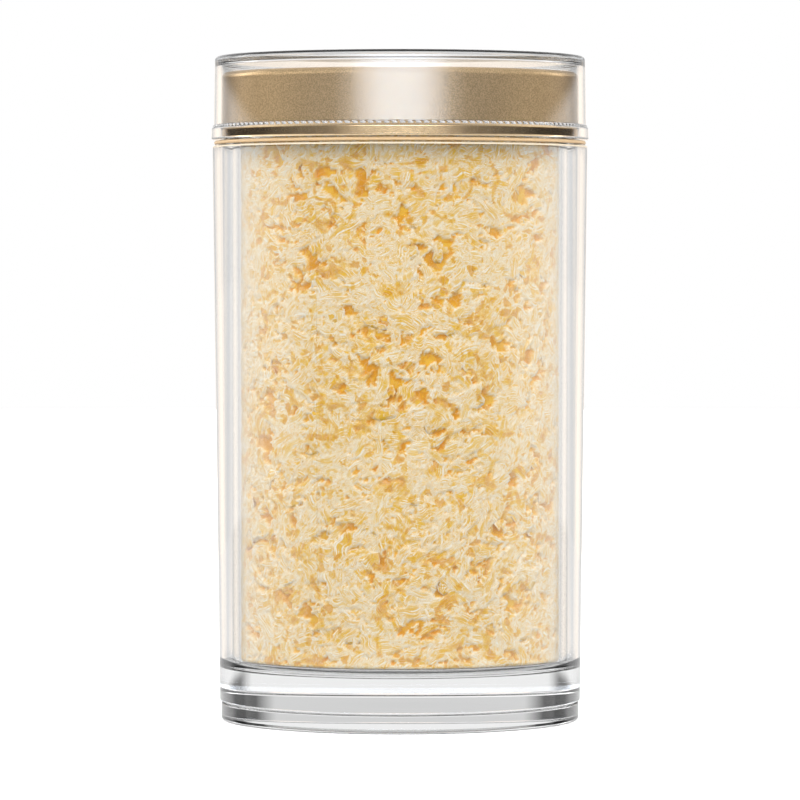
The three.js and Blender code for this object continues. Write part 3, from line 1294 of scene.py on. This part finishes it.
    def heap(self, material: Material) -> list[Object]:
        """Makes the layered heap, in closed sectors that meet in upright planes.

        Args:
            material: its finish.

        Returns:
            The sectors.
        """
        _, low, high = self.span()
        outline, inward, share = self.profile()
        along = np.concatenate(([0], np.cumsum(np.hypot(*np.diff(outline, axis=0).T))))
        sheets = self.layered(along)
        depth = self.press * np.logaddexp(0, -sheets["level"] / self.press) * share[:, None]
        angles = np.arange(self.heap_columns) * TURN / self.heap_columns
        radius = np.clip(outline[:, 0, None] + inward[:, 0, None] * depth, self.least_radius, None)
        height = outline[:, 1, None] + inward[:, 1, None] * depth
        places = polar(radius, angles, height)
        fine = np.zeros(depth.shape)
        for later, size, length in self.ripples:
            fine += size * waves(places, self.seed + later, self.ripple_waves, length)
        fine *= (share * np.clip(depth / self.calm_depth, self.calm, 1).T).T
        radius = np.clip(radius - inward[:, 0, None] * fine, 0, self.wall_at(height))
        height = np.minimum(height - inward[:, 1, None] * fine, high)
        places = polar(radius, angles, height)
        # Painted shade under the lid, added to the depth mark.
        golden = self.lid_shade_depth * np.clip(1 - (high - height) / self.lid_shade_reach, 0, 1)
        values = {name: sheets[name] for name in ("rim", "tint", "grain")} | {"depth": depth / MM + golden}
        made = []
        each = self.heap_columns // self.sectors
        for sector in range(self.sectors):
            columns = np.arange(sector * each, (sector + 1) * each + 1) % self.heap_columns
            piece = self.closed_sector(f"{self.name}_heap_{sector + 1}", places[:, columns], (low, high))
            ends = {}
            for name, value in values.items():
                flat = value[:, columns].reshape(-1, *value.shape[2:])
                ends[name] = np.concatenate((flat, value[(0, -1), (0, 0)]))
            self.mark(piece, ends)
            made.append(self.dress(piece, material))
        return made

    def closed_sector(self, name: str, places: np.ndarray, ends: tuple[float, float]) -> Object:
        """A sector of the heap, closed by the middles of its floor and top and by its two upright sides.

        Args:
            name: the object's name.
            places: positions by row and column.
            ends: heights of the middle of its floor and of its top.

        Returns:
            The new object.
        """
        rows, columns = places.shape[:2]
        number = np.arange(rows * columns).reshape(rows, columns)
        floor = rows * columns
        top = floor + 1
        middles = np.array([(0, 0, ends[0] + self.floor_gap), (0, 0, places[-1, :, 2].mean())])
        corners = (number[:-1, :-1], number[:-1, 1:], number[1:, 1:], number[1:, :-1])
        faces = np.stack(corners, -1).reshape(-1, 4).tolist()
        faces += [(floor, int(b), int(a)) for a, b in zip(number[0], number[0, 1:])]
        faces += [(top, int(a), int(b)) for a, b in zip(number[-1], number[-1, 1:])]
        faces.append((floor, *number[:, 0].tolist(), top))
        faces.append((top, *number[::-1, -1].tolist(), floor))
        made = new_object(name, np.concatenate((places.reshape(-1, 3), middles)), faces)
        made.data.shade_smooth()
        for side in made.data.polygons[-2:]:
            side.use_smooth = False
        return made

    def seats(self, rng: np.random.Generator) -> tuple[np.ndarray, np.ndarray]:
        """Where the loose flakes sit and which way is out of the heap there.

        Args:
            rng: the source of random numbers.

        Returns:
            Positions and outward directions, one row each.
        """
        _, low, high = self.span()
        rows, columns = np.mgrid[0 : self.side_rows, 0 : self.side_columns]
        turn = columns + 0.5 * (rows % 2) + rng.uniform(-0.45, 0.45, rows.shape)
        angle = (turn * TURN / self.side_columns).ravel()
        share = ((rows + rng.uniform(0.05, 0.95, rows.shape)) / self.side_rows).ravel()
        side = polar(1.0, angle, 0.0)
        places = side * (self.wall - rng.uniform(0.1, 0.6, len(angle)) * MM)[:, None]
        places[:, 2] = low + self.lowest_seat + share * (high - low - self.unseated)
        return places, side

    def sheets(self, rng: np.random.Generator) -> tuple[np.ndarray, np.ndarray, np.ndarray]:
        """The middle surfaces of all loose flakes.

        Args:
            rng: the source of random numbers.

        Returns:
            Positions by flake, place across and place along, how near each is to the rim, and each flake's
            tint.
        """
        seat, out = self.seats(rng)
        count = len(seat)
        up = np.tile((0.0, 0.0, 1.0), (count, 1))
        tangent = np.cross(up, out)
        spin = rng.normal(*self.spin, count)
        along_wall = tangent * np.cos(spin)[:, None] + up * np.sin(spin)[:, None]
        aside = np.cross(out, along_wall)
        tilt = rng.normal(*self.tilt, count)
        flip = rng.choice((-1.0, 1.0), count)
        to_rim = out * np.cos(tilt)[:, None] + aside * (flip * np.sin(tilt))[:, None]
        normal = np.cross(along_wall, to_rim)
        normal *= np.where((normal * out).sum(1) < 0, -1.0, 1.0)[:, None]

        def each(low: float, high: float) -> np.ndarray:
            """A random number for each flake, shaped to spread over its sheet."""
            return rng.uniform(low, high, count)[:, None, None]

        wide, long = each(*self.width), each(*self.length)
        u = np.linspace(-0.5, 0.5, self.across)[None, :, None]
        v = np.array(self.places_along)[None, None, :]
        frill = 1 + 0.26 * np.sin(TURN * each(1.2, 2.4) * u + each(0, TURN))
        frill += 0.13 * np.sin(TURN * each(3, 5) * u + each(0, TURN))
        reach = long * (v * frill * np.sqrt(1 - 0.9 * (2 * u) ** 2) - 0.55)
        bow = wide * u * (0.6 + 0.4 * v)
        rise = each(0.05, 0.2) * MM * v**1.2 * np.sin(TURN * each(1, 2.4) * u + each(0, TURN))
        rise += each(-0.03, 0.06) * long * (v - 0.25) ** 2 + each(-0.05, 0.05) * wide * 2 * u**2
        rise += 0.03 * MM * np.sin(TURN * each(3, 5) * u + 4 * v + each(0, TURN))
        sheet = (
            seat[:, None, None, :]
            + bow[..., None] * along_wall[:, None, None, :]
            + reach[..., None] * to_rim[:, None, None, :]
            + rise[..., None] * normal[:, None, None, :]
        )
        near_rim = np.maximum(np.clip((v - 0.85) / 0.15, 0, 1), (2 * np.abs(u)) ** 8)
        near_rim = np.broadcast_to(near_rim, sheet.shape[:3])
        return self.confine(sheet, self.thickness), near_rim, rng.uniform(0, 1, count)

    def closed_sheets(self, sheet: np.ndarray) -> tuple[np.ndarray, np.ndarray]:
        """Gives sheets a thickness and closes them.

        Args:
            sheet: positions by flake, place across and place along.

        Returns:
            Positions by flake and point, front then back, and the quads of one flake.
        """
        across = np.gradient(sheet, axis=1)
        along = np.gradient(sheet, axis=2)
        normal = np.cross(across, along)
        normal /= np.maximum(np.linalg.norm(normal, axis=-1, keepdims=True), 1e-12)
        v = np.array(self.places_along)[None, None, :, None]
        half = (self.thickness * (1 - v) + self.rim_thickness * v) / 2
        both = np.concatenate((sheet + half * normal, sheet - half * normal), axis=1)
        points = both.reshape(len(sheet), -1, 3)
        along_count = len(self.places_along)
        number = np.arange(2 * self.across * along_count).reshape(2, self.across, along_count)
        front, back = number
        sides = (
            (front[:-1, :-1], front[1:, :-1], front[1:, 1:], front[:-1, 1:]),
            (back[:-1, :-1], back[:-1, 1:], back[1:, 1:], back[1:, :-1]),
        )
        quads = [np.stack(corners, -1).reshape(-1, 4) for corners in sides]
        loop = [*front[:, 0], *front[-1, 1:], *front[-2::-1, -1], *front[0, -2:0:-1]]
        offset = self.across * along_count
        ring = np.array([(a, a + offset, b + offset, b) for a, b in zip(loop, loop[1:] + loop[:1])])
        return points, np.concatenate((*quads, ring))

    def flake_grain(self) -> np.ndarray:
        """Lays the grain on a flake.

        Returns:
            The place along and across the grain at each point, front then back.
        """
        u = np.linspace(-0.5, 0.5, self.across) * np.mean(self.width) / self.form.grain_length
        v = np.array(self.places_along) * np.mean(self.length) / self.form.grain_width
        one = np.stack(np.broadcast_arrays(u[:, None], v[None, :], 0.0), axis=-1).reshape(-1, 3)
        return np.concatenate((one, one))

    def flakes(self, material: Material) -> list[Object]:
        """Makes the loose flakes, joined into a few pieces.

        Args:
            material: their finish.

        Returns:
            The pieces.
        """
        rng = np.random.default_rng(self.seed)
        sheet, near_rim, tint = self.sheets(rng)
        points, quads = self.closed_sheets(sheet)
        made = []
        for number, share in enumerate(np.array_split(np.arange(len(points)), self.pieces)):
            mine = points[share]
            each = mine.shape[1]
            faces = (quads[None] + (np.arange(len(share)) * each)[:, None, None]).reshape(-1, 4)
            flat = mine.reshape(-1, 3)
            piece = new_object(f"{self.name}_flakes_{number + 1}", flat, faces.tolist())
            piece.data.shade_smooth()
            rim = np.concatenate((near_rim[share], near_rim[share]), axis=1)
            depth = (self.wall_at(flat[:, 2]) - np.hypot(flat[:, 0], flat[:, 1])) / MM
            own = np.repeat(tint[share], each)
            grain = np.tile(self.flake_grain(), (len(share), 1))
            grain[:, 2] = self.grain_shift * own
            self.mark(piece, {"rim": rim, "depth": depth, "tint": own, "grain": grain})
            made.append(self.dress(piece, material))
        return made


# The studio


LIGHT_PATHS = {
    "max_bounces": 16, "transmission_bounces": 16, "transparent_max_bounces": 16, "diffuse_bounces": 3,
    "glossy_bounces": 6, "caustics_refractive": False, "caustics_reflective": False,
    "sample_clamp_indirect": 8,
}


@dataclass(frozen=True)
class PaleTable(Finish):
    """The plain matte table top, without gloss."""

    name: str = "pale_floor"
    colour: Colour = (0.95, 0.95, 0.95)
    roughness: float = 0.9

    def surface(self, sketch: Shader) -> Node:
        """One plain colour."""
        return sketch.node("BsdfPrincipled", Base_Color=self.colour, Roughness=self.roughness,
                           Specular_IOR_Level=0.0)


@dataclass
class Studio:
    """The camera, the pale floor and the soft light. Lamps are turn and rise in degrees, and strength."""

    eye_distance: float = 1.35
    eye_height: float = 119.4 * MM
    look_height: float = 84.8 * MM
    focal_pixels: float = 5081
    image_pixels: float = 800
    sensor: float = 36.0
    floor_radius: float = 3.0
    floor_sides: int = 96
    brightest: float = 12.0
    lamp_spread: float = 64.0
    lamps: tuple[tuple[float, float, float], ...] = (
        (-25, 3, 3.1), (30, 3, 2.75), (90, 5, 2.15), (140, 6, 1.85), (-140, 6, 1.85), (-90, 5, 2.15),
        (0, 85, 1.4),
    )

    def camera(self) -> None:
        """Makes the camera at the photograph's viewing angle."""
        data = bpy.data.cameras.new("camera")
        data.sensor_width = self.sensor
        data.lens = self.focal_pixels / self.image_pixels * self.sensor
        data.clip_start = 0.05
        data.clip_end = 50
        made = placed("camera", data)
        made.location = (0, -self.eye_distance, self.eye_height)
        aim = Vector((0, 0, self.look_height)) - made.location
        made.rotation_euler = aim.to_track_quat("-Z", "Y").to_euler()
        bpy.context.scene.camera = made

    def floor(self) -> None:
        """Makes the pale round table top."""
        angles = np.arange(self.floor_sides) * TURN / self.floor_sides
        edge = polar(self.floor_radius, angles, 0.0)
        made = new_object("floor", edge, [tuple(range(self.floor_sides))])
        made.data.materials.append(PaleTable().material())
        made.visible_transmission = False
        made.visible_glossy = False

    def around(self, sketch: Shader, turn: Socket, stops: dict[float, float | Colour]) -> Socket:
        """Light that changes with the angle from the camera's side.

        Args:
            sketch: the world's shader.
            turn: the angle, from 0 at the camera's side to 1 behind the jar.
            stops: levels or colours at angles in degrees.

        Returns:
            The light's colour.
        """
        places = []
        for angle, level in stops.items():
            colour = level if isinstance(level, tuple) else (level, level, level)
            places.append((angle / 180, tuple(part / self.brightest for part in colour)))
        ramp = sketch.ramp(turn, places)
        return sketch.blend(1.0, ramp, (self.brightest,) * 3, "MULTIPLY")

    def world(self) -> None:
        """Surrounds the jar with soft light: pale below, a bright strip in front, dark cards aside."""
        world = bpy.data.worlds.new("soft_studio")
        bpy.context.scene.world = world
        world.use_nodes = True
        sketch = Shader(world.node_tree)
        way = sketch.node("TexCoord").outputs["Generated"]
        split = sketch.node("SeparateXYZ", Vector=way)
        towards = sketch.math("MULTIPLY", split.outputs["Y"], -1)
        signed = sketch.math("DIVIDE", sketch.math("ARCTAN2", split.outputs["X"], towards), math.pi)
        turn = sketch.math("ABSOLUTE", signed)
        rise = sketch.math("MULTIPLY", sketch.math("ARCSINE", split.outputs["Z"]), 180 / math.pi)
        cream = (1.16, 1.04, 0.92)
        ground = self.around(sketch, turn, {
            0: 0.6, 60: 0.75, 95: 0.88, 115: 0.88, 119: 0.2, 130: 0.2, 138: 0.88,
        })
        horizon = self.around(sketch, turn, {
            0: 0.25, 40: 0.28, 62: 0.4, 80: 0.8, 92: 1.0, 130: 1.0, 134: 0.64, 146: 0.64, 148: cream,
            160: cream, 163: 0.72, 170: 0.72, 173: cream,
        })
        strip = self.around(sketch, turn, {
            0: (5.7, 6.5, 7.6), 12: (5.4, 6.1, 7.1), 22: (3.9, 4.2, 4.7), 32: 1.6, 42: 0.5, 67: 0.22,
            98: 0.06, 140: 0.05, 149: 0.62,
        })
        cards = self.around(sketch, turn, {
            0: 0.8, 20: 0.65, 45: 0.22, 67: 0.15, 98: 0.04, 140: 0.04, 149: 0.64,
        })
        dome = self.around(sketch, turn, {
            0: 0.8, 30: 0.8, 60: 1.0, 112: 1.4, 117: 4.0, 123: 4.0, 128: 1.4, 145: 1.0,
        })
        overhead = self.around(sketch, turn, {0: 1.0, 100: 0.95, 180: 0.9})
        dimmer = sketch.math("SUBTRACT", 1.0, sketch.math("MULTIPLY", split.outputs["X"], 0.2))
        dome = sketch.blend(1.0, dome, dimmer, "MULTIPLY")
        level = sketch.blend(sketch.fade(rise, -3.6, -3.4), ground, horizon)
        bands = ((2.5, 2.7, strip), (4.35, 4.5, cards), (5.8, 6.6, dome), (26, 36, overhead))
        for low, high, band in bands:
            level = sketch.blend(sketch.fade(rise, low, high), level, band)
        seen = sketch.node("LightPath").outputs["Is Camera Ray"]
        colour = sketch.blend(seen, level, (1.0, 1.0, 1.0))
        sky = sketch.node("Background", Color=colour, Strength=1.0)
        sketch.node("OutputWorld", Surface=sky.outputs[0])

    def soft_lamps(self) -> None:
        """Makes wide, even lamps that light what lies behind the clear walls and leave no reflections."""
        for number, (turn, rise, strength) in enumerate(self.lamps):
            data = bpy.data.lights.new(f"soft_lamp_{number + 1}", "SUN")
            data.angle = math.radians(self.lamp_spread)
            data.energy = strength
            data.cycles.use_multiple_importance_sampling = False
            made = placed(data.name, data)
            across, up = math.radians(turn), math.radians(rise)
            flat = math.cos(up)
            way = Vector((math.sin(across) * flat, -math.cos(across) * flat, math.sin(up)))
            made.rotation_euler = way.to_track_quat("Z", "Y").to_euler()
            made.visible_glossy = False
            made.visible_transmission = False

    def settings(self) -> None:
        """Plain colours, and enough bounces for several clear walls."""
        scene = bpy.context.scene
        scene.view_settings.view_transform = "Standard"
        scene.view_settings.look = "None"
        for name, value in LIGHT_PATHS.items():
            setattr(scene.cycles, name, value)

    def build(self) -> None:
        """Makes the whole studio."""
        self.camera()
        self.floor()
        self.world()
        self.soft_lamps()
        self.settings()


def main() -> None:
    """Builds the jar, the lid, the fungus and the studio, in that order."""
    logging.basicConfig(level=logging.INFO, format="%(message)s")
    # teeth, shoulder and rim are opaque finishes painted as reflections on the clear edges.
    acrylic, teeth, shoulder, rim, satin, polished, foam, dried = (
        finish.material()
        for finish in (
            CLEAR, TEETH_PAINTED_REFLECTION, SHOULDER_PAINTED_REFLECTION, RIM_PAINTED_HIGHLIGHT, SATIN_GOLD, POLISHED_GOLD, WHITE_FOAM, FUNGUS
        )
    )
    BaseFoot("clear_foot", "base_foot", Body.JAR, Slot.ACRYLIC).build(acrylic)
    OuterJar("clear_outer_jar", "outer_jar", Body.JAR, Slot.ACRYLIC).build(acrylic, rim)
    InnerTub("clear_inner_tub", "inner_tub", Body.JAR, Slot.ACRYLIC).build(acrylic, shoulder)
    LidShell("clear_lid_shell", "lid_shell", Body.LID, Slot.ACRYLIC).build(acrylic, teeth)
    GoldCap("satin_gold_cap", "gold_cap", Body.LID, Slot.SATIN).build(satin)
    TrimRing("polished_trim_ring", "trim_ring", Body.LID, Slot.POLISHED).build(polished)
    LidLiner("foam_lid_liner", "lid_liner", Body.LINER, Slot.FOAM).build(foam)
    fill = FungusFill("fungus", "fungus_fill", Body.JAR, Slot.FUNGUS)
    fill.heap(dried)
    fill.flakes(dried)
    Studio().build()


if __name__ == "__main__":
    main()
